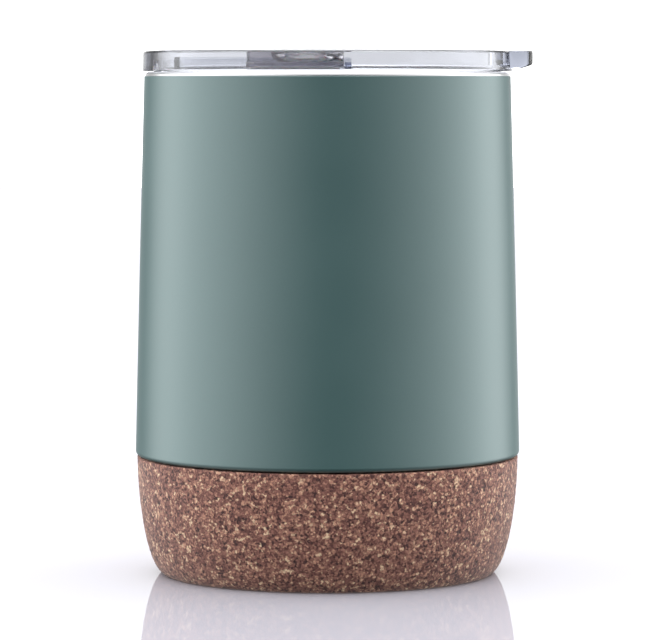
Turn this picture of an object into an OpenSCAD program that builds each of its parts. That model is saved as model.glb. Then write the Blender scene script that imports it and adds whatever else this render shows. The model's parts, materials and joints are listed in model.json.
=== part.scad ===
// Insulated travel cup: a double-walled steel cup, painted outside, that stands in
// a cork cup. A clear press-in lid closes it, with a silicone seal ring, a thumb tab and a
// sliding closure over the drink opening. Millimetres, +Z up. The origin is the
// middle of the flat underside, on the cup's axis, and the thumb tab points along +X.

/* [Cup] */
// Widest outside diameter, at the foot of the painted wall
cup_d = 82.4; // [68:0.1:99]
// Height from the table to the top of the steel lip
cup_h = 107.4; // [90:0.1:130]
// How far the painted wall leans in between its foot and its top, on the radius
wall_lean = 2.05; // [0.5:0.05:3]
// How far the painted wall bows out halfway up
wall_bow = 0.05; // [0:0.01:1]
// Thickness of the outer steel wall
shell_t = 0.6; // [0.4:0.05:1]
// Radius of the painted wall's rolled foot
foot_round = 1; // [0.8:0.1:2]
// Radius of the outer wall's bottom corner, inside the cork
corner_round = 7; // [4:0.5:9]
// Thickness of the steel liner
liner_t = 0.5; // [0.4:0.05:0.8]
// Space between the outer bottom and the liner's bottom
bottom_gap = 4; // [3:0.1:6]
// Space between the two walls inside the cork
wall_gap = 1.8; // [1:0.1:3]
// Radius of the corner between the liner's wall and its bottom
liner_round = 9; // [5:0.5:12]
// Height above the liner's underside at which its bottom is welded on
weld_h = 11; // [9.6:0.1:16]

/* [Lip and mouth] */
// Height of the bare steel lip above the paint
lip_h = 0.9; // [0.6:0.05:2]
// Width of the lip, from the mouth to its outer edge
lip_w = 1.45; // [1.3:0.05:2.4]
// How far the lip stays inside the painted wall
lip_setback = 0.2; // [0.05:0.05:0.4]
// Depth of the straight mouth that the lid's plug fits
mouth_depth = 8.6; // [8:0.1:14]
// How far the liner steps in below the mouth, on the radius
neck_step = 1.1; // [0.5:0.1:2]
// Height of that step's slope
neck_h = 2.5; // [1:0.1:5]

/* [Cork] */
// Height of the cork cup
cork_h = 25.2; // [22:0.1:35]
// How far the cork's top edge stays inside the painted foot, on the radius
cork_setback = 0.3; // [0.05:0.01:0.5]
// Thickness of the cork wall at its top
cork_wall = 3.4; // [2.8:0.1:4.5]
// Thickness of the cork floor
cork_floor = 4.75; // [3.5:0.05:6]
// How far the cork's side curves in towards the table, on the radius
cork_round = 5.8; // [4:0.1:8]
// How far its side leans in as well
cork_lean = 0.3; // [0:0.05:1]
// Shadow gap between the cork and the painted foot
cork_gap = 0.25; // [0.1:0.05:0.5]
// Thickness of the adhesive under and around the steel
glue_t = 0.15; // [0.05:0.05:0.3]

/* [Vacuum parts] */
// Width of the outer wall's bottom flange
flange_w = 1.8; // [1.6:0.1:3]
// Width of the bottom plate's lap over that flange
lap_w = 1.4; // [1:0.1:1.5]
// Diameter of the pit that holds the sealing glass, in the bottom plate
pit_d = 14; // [10:0.5:18]
// Depth of that pit
pit_depth = 1.6; // [1:0.1:2]
// Width of the slope around the pit
pit_slope = 2; // [1:0.1:3]
// Diameter of the hole that the air is drawn out through
port_d = 1.4; // [1:0.1:2]
// Diameter of the glass bead that seals the hole
bead_d = 6; // [4:0.5:9]
// Diameter of the getter pellet
getter_d = 8; // [5:0.5:10]
// Thickness of the getter pellet
getter_t = 1.2; // [0.8:0.1:2]
// Width of the strap that holds the pellet
strap_w = 4; // [3:0.5:5]
// Thickness of that strap
strap_t = 0.3; // [0.2:0.05:0.4]
// Thickness of the reflecting foil around the liner
foil_t = 0.1; // [0.05:0.05:0.3]

/* [Lid] */
// Height of the lid's clear rim above the lip
rim_h = 4.4; // [4:0.1:7]
// How far the rim overhangs the painted wall's top, on the radius
rim_overhang = 0.45; // [0:0.05:1]
// Thickness of the wall between the lid's dish and the outside of its plug
dish_wall = 0.8; // [0.6:0.1:1.6]
// Radius of the rim's top corners
rim_round = 0.7; // [0.3:0.1:1]
// How far the dished floor lies below the rim's underside
dish_drop = 0.2; // [0:0.1:1]
// Thickness of the lid's floor
lid_floor_t = 1.6; // [1.2:0.1:2.4]
// Depth of the plug below the rim's underside
plug_depth = 7; // [6:0.1:7.6]
// Thickness of the plug's wall
plug_wall = 2.6; // [2.2:0.1:3.5]
// Clearance between the plug and the mouth, on the radius
plug_gap = 0.5; // [0.3:0.05:1]
// Clearance between the rim's underside and the steel lip
seat_gap = 0.1; // [0.05:0.05:0.2]
// Distance that the thumb tab stands out of the rim
tab_reach = 4; // [2:0.1:8]
// Width of the thumb tab
tab_w = 17; // [12:0.5:24]
// How much thinner the tab is at its tip
tab_rise = 1.2; // [0.4:0.1:2]
// Radius of the tab's corners, seen from above
tab_round = 3; // [1:0.1:3.5]
// Diameter of the vent hole
vent_d = 2.4; // [1.5:0.1:3]

/* [Seal ring] */
// Height of the seal's groove in the plug
groove_h = 4; // [3:0.1:4.2]
// Depth of that groove
groove_depth = 1.2; // [0.8:0.1:1.3]
// Clearance around the ring in its groove
seal_gap = 0.06; // [0.05:0.01:0.2]
// Thickness of each sealing fin
fin_t = 0.6; // [0.4:0.1:1]
// Number of fins
fin_count = 2; // [1:1:3]
// Clearance between the pressed-in fins and the mouth
fin_gap = 0.08; // [0.05:0.01:0.2]

/* [Sliding closure] */
// Length of the closure along its travel
slider_l = 20.5; // [17:0.5:26]
// Width of its foot plate, which runs under the rails
slider_w = 25; // [21:0.5:28]
// Width of its raised block
block_w = 17; // [12:0.5:20]
// Thickness of its foot plate
plate_t = 0.9; // [1:0.1:2]
// How far its top stays below the rim's top
block_drop = 0.3; // [0.1:0.1:1]
// Diameter of the finger well in the block
well_d = 15; // [10:0.5:16]
// Thickness left under the finger well
well_floor = 0.8; // [0.5:0.1:1.5]
// Rounding between the finger well's side and its floor
well_round = 2.2; // [0.5:0.1:3]
// How far the well lies behind the block's middle
well_shift = 2.2; // [0:0.1:2.2]
// Distance that the closure travels between closed and open
slide_travel = 15.7; // [14:0.1:20]
// Gap between the closed plate's front corners and the rim
front_gap = 1.25; // [0.8:0.05:3]
// Radius of the plate's corners
plate_round = 2; // [1:0.1:4]
// Thickness of the silicone pad under the plate
pad_t = 0.6; // [0.4:0.1:1.4]
// How far the pad stays inside the plate's outline
pad_inset = 0.8; // [0.3:0.1:1.5]
// Clearance between the closure and the lid
slide_gap = 0.12; // [0.05:0.01:0.3]
// Width of each rail's web
rail_t = 1.6; // [1.2:0.1:2.4]
// How far each rail's lip reaches over the plate
rail_lip = 1.7; // [1:0.1:2.5]
// Thickness of each rail's lip
rail_lip_t = 0.7; // [0.6:0.1:1.2]
// Length of the drink opening along the closure's travel
opening_l = 8; // [6:0.5:10]
// Width of the drink opening
opening_w = 16; // [12:0.5:20]
// How far the closed plate reaches past the opening
opening_lap = 2.25; // [1.5:0.05:3]

/* [Hidden] */
$fn = 96;

wall_steps = 12;                              // bands along the painted wall
arc_steps = 12;                               // bands around a corner
cork_steps = 24;                              // bands down the cork's side
cut = 1;                                      // how far a cutting solid runs past its wall

// Radii and heights of the steel cup
foot_r = cup_d / 2;
shell_top = cup_h - lip_h;
shell_foot = cork_h + cork_gap;
wall_start = shell_foot + foot_round;
wall_top_r = foot_r - wall_lean;
cork_top_r = foot_r - cork_setback;
step_r = cork_top_r - cork_wall - glue_t;     // outside of the wall inside the cork
shell_bottom = cork_floor + glue_t;
plate_top = shell_bottom + shell_t;
corner_z = shell_bottom + corner_round;
corner_r = step_r - corner_round;
plate_r = corner_r - flange_w;
pit_r = pit_d / 2;
pit_z = shell_bottom + pit_depth;             // underside of the pit's floor
getter_x = (pit_r + pit_slope + plate_r - shell_t) / 2;

// Radii and heights of the liner
lip_r = wall_top_r - lip_setback;
mouth_r = lip_r - lip_w;
mouth_foot = cup_h - mouth_depth;
neck_foot = mouth_foot - neck_h;
neck_r = mouth_r - neck_step;
liner_under = plate_top + bottom_gap;
liner_floor = liner_under + liner_t;
liner_weld = liner_under + weld_h;
liner_foot_r = step_r - shell_t - wall_gap - liner_t;
liner_corner_r = liner_foot_r - liner_round;
liner_corner_z = liner_floor + liner_round;

// Radii and heights of the lid
rim_foot = cup_h + seat_gap;
rim_top = rim_foot + rim_h;
rim_r = wall_top_r + rim_overhang;
rim_taper = 0.15;                             // the rim is this much slimmer at its top
plug_r = mouth_r - plug_gap;
dish_r = plug_r - dish_wall;
dish_z = rim_foot - dish_drop;
plug_in_r = plug_r - plug_wall;
plug_foot = rim_foot - plug_depth;
plug_bevel = 0.5;
groove_r = plug_r - groove_depth;
groove_z = plug_foot + (plug_depth - groove_h) / 2;
tab_skirt = 0.2;                              // the tab's underside starts this far above the rim's
tab_root = 1.2;                               // how far the tab reaches into the rim

// The closure's places: x is where its front edge is
closed_front = -(sqrt(pow(dish_r, 2) - pow(slider_w / 2, 2)) - front_gap);
open_front = closed_front + slide_travel;
pad_z = dish_z + slide_gap;
foot_plate_z = pad_z + pad_t;
block_z = foot_plate_z + plate_t;
block_top = rim_top - block_drop;
rail_in = slider_w / 2 + slide_gap;
rail_front = closed_front - slide_gap - rail_t;
rail_back = open_front + slider_l + slide_gap;
rail_lip_z = block_z + slide_gap;
stop_t = 1.4;                                 // thickness of the stop bar behind the open closure
rail_end = rail_back + stop_t;
opening_x = closed_front + opening_lap + opening_l / 2;
vent_x = (rail_end + dish_r) / 2;

// Points on an arc from angle a0 to a1 about [x, y]
function arc(x, y, r, a0, a1, steps = arc_steps) =
    [for (i = [0 : steps]) let (a = a0 + (a1 - a0) * i / steps) [x + r * cos(a), y + r * sin(a)]];

// The points of a list in the opposite order
function reversed(points) = [for (i = [len(points) - 1 : -1 : 0]) points[i]];

// Radius of the painted wall at a share t of its height
function wall_r(t) = foot_r - wall_lean * t + wall_bow * 4 * t * (1 - t);

// Quarter of an ellipse, from its edge at [r, z] down to the axis at depth d
function bowl_line(r, z, d) =
    [for (i = [0 : arc_steps]) let (a = 90 * i / arc_steps) [r * cos(a), z - d * sin(a)]];

// Outline of the outer wall's section, from its top edge to its bottom hole, set in by t
function shell_line(t) = concat(
    [for (i = [wall_steps : -1 : 0]) let (s = i / wall_steps)
        [wall_r(s) - t, wall_start + (shell_top - wall_start) * s]],
    arc(foot_r - foot_round, wall_start, foot_round - t, 0, -90),
    [[step_r - t, shell_foot + t]],
    arc(corner_r, corner_z, corner_round - t, 0, -90),
    [[plate_r, shell_bottom + t]]);

// A slot's outline, w wide across y and l long along x, with round ends on the y axis
module slot_outline(l, w) {
    square([l, w - l], center = true);
    for (side = [-1, 1]) translate([0, side * (w - l) / 2]) circle(d = l);
}

// A rectangle's outline with round corners, from x = 0 to l and centred across y
module plate_outline(l, w, r) {
    translate([r, -w / 2]) square([l - 2 * r, w]);
    translate([0, r - w / 2]) square([l, w - 2 * r]);
    for (x = [r, l - r], y = [r - w / 2, w / 2 - r]) translate([x, y]) circle(r);
}

// Cork cup with a curved side, a flat underside and a seat for the steel
module cork_base() {
    side = [for (i = [0 : cork_steps]) let (a = 90 * i / cork_steps)
        [cork_top_r - cork_lean * sin(a) - cork_round * (1 - cos(a)), cork_h * (1 - sin(a))]];
    seat = concat([[0, cork_floor]],
                  reversed(arc(corner_r, corner_z, corner_round + glue_t, 0, -90)),
                  [[step_r + glue_t, cork_h]]);
    color("#8a6256") rotate_extrude() polygon(concat(side, [[0, 0]], seat));
}

// Adhesive disc between the cork floor and the steel bottom
module adhesive_pad() {
    color("#c9b48a") translate([0, 0, cork_floor]) cylinder(r = corner_r, h = glue_t);
}

// Adhesive film between the cork's side and the steel wall
module adhesive_band() {
    color("#c9b48a") rotate_extrude()
        translate([step_r, corner_z]) square([glue_t, cork_h - corner_z]);
}

// Painted outer wall, stepped in where the cork holds it
module outer_shell() {
    color("#5f7f7d") rotate_extrude() polygon(concat(shell_line(0), reversed(shell_line(shell_t))));
}

// Steel plate that closes the outer wall, with a pit for the sealing glass
module outer_bottom() {
    lap_top = plate_top + shell_t;
    section = [
        [plate_r + lap_w, plate_top], [plate_r + lap_w, lap_top], [plate_r - shell_t, lap_top],
        [plate_r - shell_t, plate_top], [pit_r + pit_slope, plate_top],
        [pit_r, plate_top + pit_depth], [port_d / 2, plate_top + pit_depth],
        [port_d / 2, pit_z], [pit_r, pit_z],
        [pit_r + pit_slope, shell_bottom], [plate_r, shell_bottom], [plate_r, plate_top]];
    color("#b9bcbe") rotate_extrude() polygon(section);
}

// Glass bead that plugs the port from inside the pit
module vacuum_seal() {
    plug = [[0, plate_top + pit_depth], [port_d / 2, plate_top + pit_depth], [port_d / 2, pit_z]];
    color("#3f4a52") rotate_extrude()
        polygon(concat(plug, bowl_line(bead_d / 2, pit_z, pit_depth / 2)));
}

// Getter pellet that binds the last gas in the vacuum
module getter_pellet() {
    color("#6d6f72") translate([getter_x, 0, plate_top]) cylinder(d = getter_d, h = getter_t);
}

// Strap that is spot-welded over the pellet, with a foot on each side
module getter_strap() {
    leg_y = getter_d / 2 + strap_t;
    foot_l = 2.5;
    color("#a9acae") translate([getter_x - strap_w / 2, 0, plate_top])
        for (side = [0, 1]) mirror([0, side, 0]) {
            translate([0, 0, getter_t]) cube([strap_w, leg_y, strap_t]);
            translate([0, leg_y - strap_t, 0]) cube([strap_w, strap_t, getter_t + strap_t]);
            translate([0, leg_y - strap_t, 0]) cube([strap_w, foot_l, strap_t]);
        }
}

// Foil wrapped around the liner to reflect its heat back
module radiation_foil() {
    color("#c9ccce") rotate_extrude() polygon([
        [liner_foot_r + liner_t, liner_weld], [liner_foot_r + liner_t + foil_t, liner_weld],
        [neck_r + liner_t + foil_t, neck_foot], [neck_r + liner_t, neck_foot]]);
}

// Liner wall with the mouth, the neck and the welded steel lip
module liner_wall() {
    lip_r_top = lip_h / 2;                    // radius of the lip's rolled top edges
    section = concat(
        [[liner_foot_r, liner_weld], [neck_r, neck_foot], [mouth_r, mouth_foot]],
        reversed(arc(mouth_r + lip_r_top, cup_h - lip_r_top, lip_r_top, 90, 180)),
        reversed(arc(lip_r - lip_r_top, cup_h - lip_r_top, lip_r_top, 0, 90)),
        [[lip_r, shell_top], [mouth_r + liner_t, shell_top], [mouth_r + liner_t, mouth_foot],
         [neck_r + liner_t, neck_foot], [liner_foot_r + liner_t, liner_weld]]);
    color("#c4c6c8") rotate_extrude() polygon(section);
}

// Dished liner bottom, welded to the wall
module liner_bottom() {
    section = concat(
        [[0, liner_under]],
        arc(liner_corner_r, liner_corner_z, liner_round + liner_t, -90, 0),
        [[liner_foot_r + liner_t, liner_weld], [liner_foot_r, liner_weld]],
        arc(liner_corner_r, liner_corner_z, liner_round, 0, -90),
        [[0, liner_floor]]);
    color("#c4c6c8") rotate_extrude() polygon(section);
}

// Round section of the lid: rim, dished floor and grooved plug
module lid_round() {
    rotate_extrude() polygon(concat(
        [[0, dish_z - lid_floor_t], [plug_in_r, dish_z - lid_floor_t], [plug_in_r, plug_foot],
         [plug_r - plug_bevel, plug_foot], [plug_r, plug_foot + plug_bevel],
         [plug_r, groove_z], [groove_r, groove_z], [groove_r, groove_z + groove_h],
         [plug_r, groove_z + groove_h], [plug_r, rim_foot], [rim_r, rim_foot]],
        arc(rim_r - rim_taper - rim_round, rim_top - rim_round, rim_round, 0, 90),
        arc(dish_r + rim_round, rim_top - rim_round, rim_round, 90, 180),
        [[dish_r, dish_z], [0, dish_z]]));
}

// Thumb tab, thinner at its tip, that lifts the lid
module thumb_tab() {
    length = tab_root + tab_reach;
    root_z = rim_foot + tab_skirt;
    intersection() {
        translate([rim_r - tab_root, 0, 0]) rotate([90, 0, 0])
            linear_extrude(height = tab_w, center = true)
                polygon([[0, root_z], [tab_root, root_z], [length, root_z + tab_rise],
                         [length, rim_top], [0, rim_top]]);
        translate([rim_r - tab_root - tab_round, 0, rim_foot])
            linear_extrude(height = rim_h) plate_outline(length + tab_round, tab_w, tab_round);
    }
}

// Rails that guide the closure, with a stop at each end of its travel
module rails() {
    root_z = dish_z - lid_floor_t / 2;
    rail_l = rail_end - rail_front;
    for (side = [0, 1]) mirror([0, side, 0]) {
        translate([rail_front, rail_in, root_z])
            cube([rail_l, rail_t, rail_lip_z + rail_lip_t - root_z]);
        translate([rail_front, rail_in - rail_lip, rail_lip_z])
            cube([rail_l, rail_lip + rail_t, rail_lip_t]);
        translate([rail_back, 0, root_z]) cube([stop_t, rail_in + rail_t, block_z - root_z]);
        translate([rail_front, rail_in - rail_lip, root_z])
            cube([closed_front - slide_gap - rail_front, rail_lip + rail_t, rail_lip_z - root_z]);
    }
}

// Clear lid with its thumb tab, rails, drink opening and vent
module lid_body() {
    floor_cut = lid_floor_t + 2 * cut;
    color("#dfe6ea", 0.4) difference() {
        union() {
            lid_round();
            thumb_tab();
            intersection() {
                rails();
                cylinder(r = (dish_r + plug_r) / 2, h = rim_top);
            }
        }
        translate([opening_x, 0, dish_z - lid_floor_t - cut])
            linear_extrude(height = floor_cut) slot_outline(opening_l, opening_w);
        translate([vent_x, 0, dish_z - lid_floor_t - cut]) cylinder(d = vent_d, h = floor_cut);
    }
}

// Silicone ring in the plug's groove, with fins that press on the mouth
module lid_seal() {
    low = groove_z + seal_gap;
    high = groove_z + groove_h - seal_gap;
    body_r = plug_r - seal_gap;
    fin_r = mouth_r - fin_gap;
    pitch = (high - low) / (fin_count + 1);
    color("#e9eaec", 0.8) rotate_extrude() {
        translate([groove_r + seal_gap, low]) square([body_r - groove_r - seal_gap, high - low]);
        for (i = [1 : fin_count])
            polygon([[groove_r + seal_gap, low + pitch * i - fin_t],
                     [fin_r, low + pitch * i - fin_t / 4],
                     [fin_r, low + pitch * i + fin_t / 4],
                     [groove_r + seal_gap, low + pitch * i + fin_t]]);
    }
}

// Closure with a foot plate under the rails and a block with a finger well
module closure_slider() {
    well_z = foot_plate_z + well_floor;
    well_r = well_d / 2;
    curve = min(well_round, block_top - well_z, well_r / 2);
    color("#8d8b93", 0.8) translate([open_front, 0, 0]) difference() {
        translate([0, 0, foot_plate_z]) {
            linear_extrude(height = plate_t) plate_outline(slider_l, slider_w, plate_round);
            linear_extrude(height = block_top - foot_plate_z)
                plate_outline(slider_l, block_w, plate_round);
        }
        translate([slider_l / 2 + well_shift, 0, 0]) rotate_extrude()
            polygon(concat([[0, block_top + cut], [well_r, block_top + cut]],
                           arc(well_r - curve, well_z + curve, curve, 0, -90), [[0, well_z]]));
    }
}

// Silicone pad that the closure draws over the drink opening
module slider_pad() {
    color("#d5d6da") translate([open_front + pad_inset, 0, pad_z])
        linear_extrude(height = pad_t)
            plate_outline(slider_l - 2 * pad_inset, slider_w - 2 * pad_inset, plate_round);
}

cork_base();
adhesive_pad();
adhesive_band();
outer_shell();
outer_bottom();
vacuum_seal();
getter_pellet();
getter_strap();
radiation_foil();
liner_wall();
liner_bottom();
lid_body();
lid_seal();
closure_slider();
slider_pad();
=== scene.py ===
# %% [markdown]
# # An insulated travel cup, rebuilt around its CAD frame
# The cup has a painted steel wall, a cork base, a bare steel lip, and a clear lid with a
# thumb tab and a sliding closure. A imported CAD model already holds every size, joint and
# hidden part. This script loads it and makes finer meshes and finishes for what the eye
# meets, each in the place that its CAD node holds.

import json
from math import atan, cos, degrees, pi, radians, sin, tan

import bmesh
import bpy
from mathutils import Matrix, Vector


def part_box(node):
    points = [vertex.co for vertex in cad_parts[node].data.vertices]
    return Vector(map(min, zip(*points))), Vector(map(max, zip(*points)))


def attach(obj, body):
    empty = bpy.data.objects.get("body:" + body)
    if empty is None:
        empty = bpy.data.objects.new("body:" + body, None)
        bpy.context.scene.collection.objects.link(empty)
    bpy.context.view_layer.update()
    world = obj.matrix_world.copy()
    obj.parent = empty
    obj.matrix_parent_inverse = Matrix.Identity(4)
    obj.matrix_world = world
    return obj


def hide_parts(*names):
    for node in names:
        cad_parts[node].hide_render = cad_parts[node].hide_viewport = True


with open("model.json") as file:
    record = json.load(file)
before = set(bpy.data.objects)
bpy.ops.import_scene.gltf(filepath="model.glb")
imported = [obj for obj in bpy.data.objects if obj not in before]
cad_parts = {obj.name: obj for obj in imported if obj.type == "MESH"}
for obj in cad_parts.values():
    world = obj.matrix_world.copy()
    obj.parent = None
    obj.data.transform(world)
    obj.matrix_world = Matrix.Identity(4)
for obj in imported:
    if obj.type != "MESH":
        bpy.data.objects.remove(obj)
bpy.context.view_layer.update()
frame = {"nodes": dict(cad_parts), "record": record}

# %% [markdown]
# ## Sizes
# Blender works in metres, and a maker of cups thinks in millimetres, so the sizes here are
# in millimetres and each mesh is scaled once, when it is finished. The heights and radii
# that the CAD nodes hold are read from their boxes, so a piece can't drift from its frame.
# The rest, such as wall thicknesses and roundings, can't be read from a box. They are the
# values that the design uses, each with its own name.

# %% Sizes read from the frame
MM = 0.001
MICRON = 0.000001           # for the relief of finishes


def reach(node):
    """Greatest X of a CAD node, in millimetres: the outer radius of a round one."""
    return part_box(node)[1][0] / MM


def base(node):
    """Lowest Z of a CAD node, in millimetres."""
    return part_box(node)[0][2] / MM


def top(node):
    """Highest Z of a CAD node, in millimetres."""
    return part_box(node)[1][2] / MM


cork_r = reach("cork_base")
cork_h = top("cork_base")
seat_r = reach("adhesive_band")
seat_floor = base("adhesive_pad")
foot_r = reach("outer_shell")
shell_base = base("outer_shell")
shell_top = top("outer_shell")
lip_r = reach("liner_wall")
lip_top = top("liner_wall")
rim_top = top("lid_body")
plug_base = base("lid_body")
print(f"cork {cork_r:.2f} x {cork_h:.2f}, wall {foot_r:.2f} up to {shell_top:.2f}, "
      f"lip {lip_r:.2f} at {lip_top:.2f}, rim top {rim_top:.2f}")

# %% Sizes of the cork and the steel walls
cork_round = 5.8            # how far the cork's side curves in towards the table
cork_lean = 0.3             # how far it leans in as well
cork_gap = 0.25             # shadow gap between the cork and the painted foot
corner_round = 7.0          # bottom corner of the outer wall, inside the cork
glue = 0.15                 # adhesive between the cork and the steel
wall_lean = 2.05            # how far the painted wall leans in towards its top
wall_bow = 0.05             # how far it bows out halfway
foot_round = 1.0            # rolled edge at the painted foot
shell_t = 0.6               # outer steel wall
flange_w = 1.8              # bottom flange of the outer wall
liner_t = 0.5               # steel liner
liner_round = 9.0           # bottom corner of the liner
lip_w = 1.45                # width of the bare lip
mouth_depth = 8.6           # straight mouth below the lip
neck_h = 2.5                # slope under the mouth
neck_step = 1.1             # how far the liner steps in there
edge_round = 0.15           # broken edge of a thin wall
wall_top_r = foot_r - wall_lean
mouth_r = lip_r - lip_w
lip_h = lip_top - shell_top
print(f"painted wall leans from {foot_r:.2f} to {wall_top_r:.2f}, "
      f"mouth {mouth_r:.2f}, lip {lip_h:.2f} high")

# %% Sizes of the lid
rim_overhang = 0.45         # lid's rim beyond the painted wall's top
rim_taper = 0.15            # how much slimmer the rim is at its top
rim_round = 0.7             # rounding of the rim's top edges
seat_gap = 0.1              # between the lid and the lip
plug_gap = 0.5              # between the lid's plug and the mouth
plug_wall = 2.6             # wall of the plug
dish_wall = 0.8             # wall between the lid's dish and the plug's outside
dish_drop = 0.2             # dished floor below the rim's underside
lid_floor_t = 1.6           # floor of the lid
groove_depth = 1.2          # groove for the seal ring
seal_gap = 0.06             # clearance around the ring in its groove
rim_foot = lip_top + seat_gap
rim_r = wall_top_r + rim_overhang
plug_r = mouth_r - plug_gap
dish_r = plug_r - dish_wall
dish_z = rim_foot - dish_drop
print(f"rim {rim_r:.2f} from {rim_foot:.2f} up, plug {plug_r:.2f}, "
      f"dish {dish_r:.2f} with its floor at {dish_z:.2f}")

# %% [markdown]
# ## Turned outlines
# Most of a cup is turned or spun about one axis, so most pieces here start as a closed
# outline of (radius, height) points. A sharp corner looks false on any real thing, so each
# corner of an outline carries its own rounding, and one function turns those into arcs.

# %% Outline helpers
def rounded(corners, steps=6):
    """Points of a closed outline whose (x, y, rounding) corners are replaced by arcs."""
    points = []
    for index, (x, y, radius) in enumerate(corners):
        here = Vector((x, y))
        if radius == 0:
            points.append((x, y))
            continue
        before = Vector(corners[index - 1][:2])
        after = Vector(corners[(index + 1) % len(corners)][:2])
        to_before = (before - here).normalized()
        to_after = (after - here).normalized()
        half = to_before.angle(to_after) / 2
        start = here + to_before * radius / tan(half)
        middle = here + (to_before + to_after).normalized() * radius / sin(half)
        spoke = start - middle
        sweep = (here + to_after * radius / tan(half) - middle).angle_signed(spoke)
        for step in range(steps + 1):
            turned = Matrix.Rotation(sweep * step / steps, 2) @ spoke
            points.append(tuple(middle + turned))
    return points


def split_long(points, longest):
    """The same closed outline, with points added where a side is over a length."""
    result = []
    for start, end in zip(points, points[1:] + points[:1]):
        start, end = Vector(start), Vector(end)
        count = max(1, round((end - start).length / longest))
        result += [tuple(start.lerp(end, step / count)) for step in range(count)]
    return result


print("rounded square:", len(rounded([(0, 0, 1), (4, 0, 1), (4, 4, 1), (0, 4, 1)])), "points")

# %% [markdown]
# ## From outline to mesh
# An outline becomes a mesh by turning it about Z or by raising it between two heights. Shapes
# that meet are joined or cut with exact booleans, so no wall is left inside the piece. Smooth
# shading blends the direction of a flat face with the rounding beside it, and in clear
# plastic that bends the light like a lens. Weighted normals cure it: each corner takes its
# direction from its largest faces, so a flat stays optically flat.

# %% Turning and raising
SEGMENTS = 192              # sides of a turned piece
FINE_SEGMENTS = 256         # sides of a large glossy one
AXIS = 1e-6                 # a radius below this is a point on the axis


def new_piece(name, mesh_builder):
    """A mesh object made from a bmesh in millimetres, with its faces pointing outwards."""
    bmesh.ops.recalc_face_normals(mesh_builder, faces=mesh_builder.faces)
    mesh = bpy.data.meshes.new(name)
    mesh_builder.to_mesh(mesh)
    mesh_builder.free()
    piece = bpy.data.objects.new(name, mesh)
    bpy.context.scene.collection.objects.link(piece)
    return piece


def turn(name, outline, segments=SEGMENTS):
    """Turns a closed outline of (radius, height) points about Z."""
    builder = bmesh.new()
    rings = []
    for radius, height in outline:
        angles = [0] if radius < AXIS else [2 * pi * i / segments for i in range(segments)]
        rings.append([builder.verts.new((radius * cos(a), radius * sin(a), height)) for a in angles])
    for low, high in zip(rings, rings[1:] + rings[:1]):
        if len(low) == 1 and len(high) == 1:
            continue
        for i in range(segments):
            j = (i + 1) % segments
            corners = [low[i % len(low)], low[j % len(low)], high[j % len(high)], high[i % len(high)]]
            builder.faces.new(list(dict.fromkeys(corners)))
    return new_piece(name, builder)


def extrude(name, outline, low, high):
    """A flat (x, y) outline raised from one height to another; low may be a function of x."""
    builder = bmesh.new()
    floor_at = low if callable(low) else lambda x: low
    bottom = [builder.verts.new((x, y, floor_at(x))) for x, y in outline]
    lid = [builder.verts.new((x, y, high)) for x, y in outline]
    builder.faces.new(bottom)
    builder.faces.new(lid)
    for i in range(len(outline)):
        j = (i + 1) % len(outline)
        builder.faces.new([bottom[i], bottom[j], lid[j], lid[i]])
    return new_piece(name, builder)


# %% Joining, rounding and finishing
def settle(piece):
    """Turns a piece's modifiers into plain mesh."""
    graph = bpy.context.evaluated_depsgraph_get()
    mesh = bpy.data.meshes.new_from_object(piece.evaluated_get(graph))
    mesh.name = piece.name
    piece.modifiers.clear()
    piece.data = mesh


def combine(piece, tool, operation):
    """Joins a tool (UNION), cuts it out (DIFFERENCE) or keeps what both share (INTERSECT)."""
    boolean = piece.modifiers.new("combine", "BOOLEAN")
    boolean.object = tool
    boolean.operation = operation
    boolean.solver = "EXACT"
    settle(piece)
    bpy.data.objects.remove(tool)


def soften(piece, width, segments=3, angle=35):
    """Rounds a piece's sharp edges."""
    bevel = piece.modifiers.new("soften", "BEVEL")
    bevel.width = width
    bevel.segments = segments
    bevel.limit_method = "ANGLE"
    bevel.angle_limit = radians(angle)
    settle(piece)


LARGEST_FACE_WINS = 100     # weight of face size in a corner's normal, at its greatest
MOULDED_SHARP = 30          # degrees past which an edge of a moulded piece stays sharp


def finish_mesh(piece, sharp_angle=40):
    """Scales a piece to metres and shades it smooth between sharp edges, with its flats flat."""
    piece.data.transform(Matrix.Scale(MM, 4))
    piece.data.shade_smooth()
    piece.data.set_sharp_from_angle(angle=radians(sharp_angle))
    weighted = piece.modifiers.new("flat_flats", "WEIGHTED_NORMAL")
    weighted.keep_sharp = True
    weighted.weight = LARGEST_FACE_WINS
    settle(piece)
    print(f"{piece.name}: {len(piece.data.polygons)} faces")


def mount(piece, body, slot, *nodes):
    """Rides a piece on its body and hides the CAD nodes whose place it takes; slot is not used."""
    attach(piece, body)
    if nodes:
        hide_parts(*nodes)


# %% [markdown]
# ## Materials
# Every finish is built from nodes. A small helper makes a material with its shader, and
# another adds a node and joins it up, so each finish below reads as a short recipe. Textures
# read Object coordinates: these pieces sit at the origin, so that is the cup's own frame.

# %% Material helpers
def new_material(name, **shader_values):
    """A material with its tree and its shader, whose named sockets get fixed values."""
    material = bpy.data.materials.new(name)
    material.use_nodes = True
    shader = material.node_tree.nodes["Principled BSDF"]
    for socket, value in shader_values.items():
        shader.inputs[socket.replace("_", " ")].default_value = value
    return material, material.node_tree, shader


def add_node(tree, kind, values=None, **settings):
    """Adds a node, sets its properties and its input sockets, and links inputs given a socket."""
    node = tree.nodes.new(kind)
    for setting, value in settings.items():
        setattr(node, setting, value)
    for socket, value in (values or {}).items():
        if isinstance(value, bpy.types.NodeSocket):
            tree.links.new(value, node.inputs[socket])
        else:
            node.inputs[socket].default_value = value
    return node


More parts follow.
